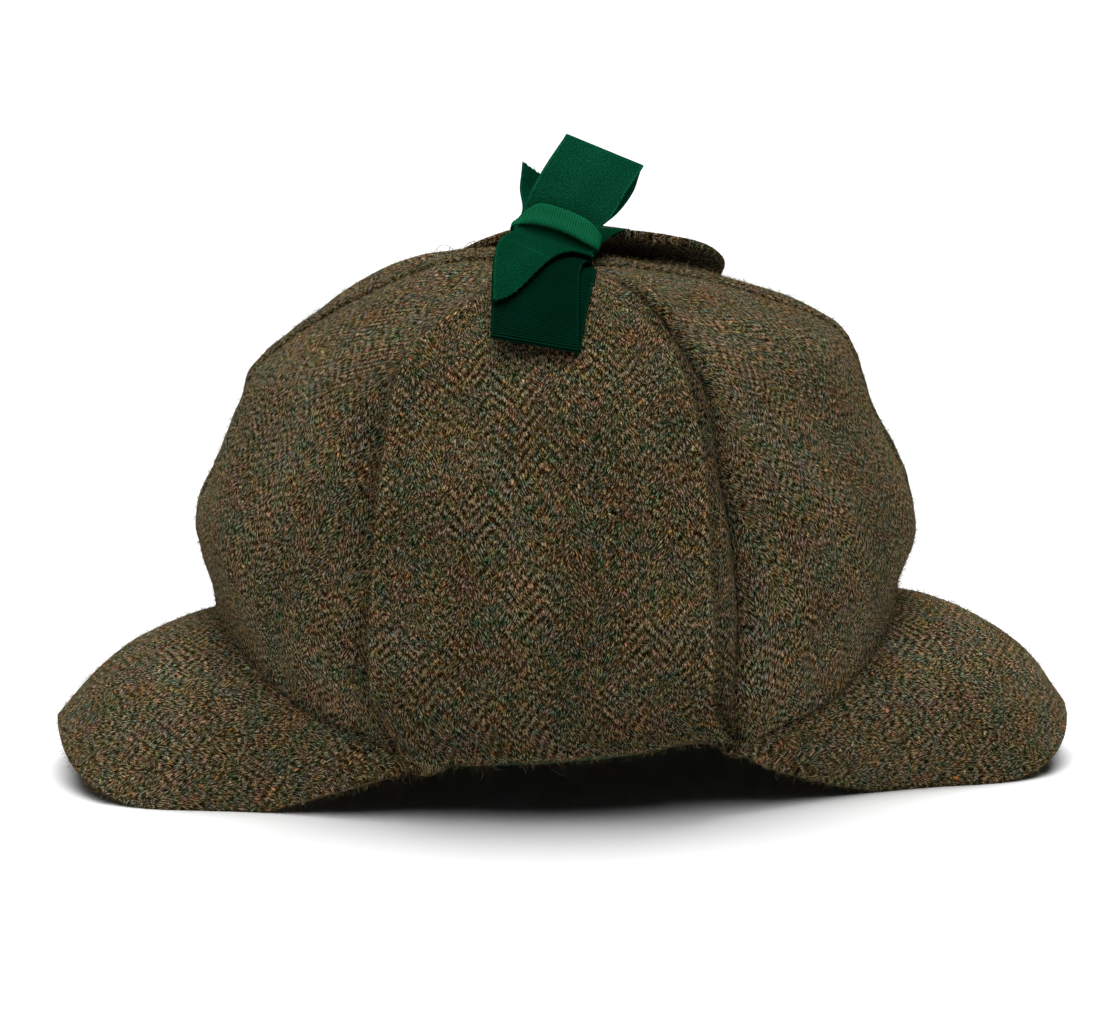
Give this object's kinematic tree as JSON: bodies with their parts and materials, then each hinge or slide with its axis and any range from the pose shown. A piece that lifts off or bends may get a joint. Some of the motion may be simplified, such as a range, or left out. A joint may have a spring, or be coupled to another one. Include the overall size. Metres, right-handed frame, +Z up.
{
  "type": "deerstalker hat",
  "caption": "Tweed deerstalker hat with a six-panel crown, a peak in front and behind, and ear flaps tied up over the top with a ribbon bow.",
  "frame": {"origin": "on the surface the hat stands on, under the middle of its length and width", "axes": "+Z up, -X towards the front peak, -Y towards the hat's left side, which the bow hangs over"},
  "size_m": [0.319, 0.1894, 0.1973],
  "materials": {
    "tweed_crown": "herringbone wool tweed, matte",
    "tweed_peak": "stiffened herringbone wool tweed, matte",
    "tweed_flap": "double herringbone wool tweed, matte",
    "green_lining": "plain woven lining, low sheen",
    "green_ribbon": "grosgrain ribbon, low sheen"
  },
  "bodies": {
    "root": {"crown_front_left": "tweed_crown", "crown_side_left": "tweed_crown", "crown_back_left": "tweed_crown", "crown_front_right": "tweed_crown", "crown_side_right": "tweed_crown", "crown_back_right": "tweed_crown", "peak_front": "tweed_peak", "peak_back": "tweed_peak", "ear_flap_left": "tweed_flap", "ear_flap_right": "tweed_flap", "lining_band": "green_lining", "bow_knot": "green_ribbon", "bow_loop_upper": "green_ribbon", "bow_loop_lower": "green_ribbon", "bow_tail_front": "green_ribbon", "bow_tail_back": "green_ribbon", "ribbon_tie_left": "green_ribbon", "ribbon_tie_right": "green_ribbon"}
  },
  "joints": []
}
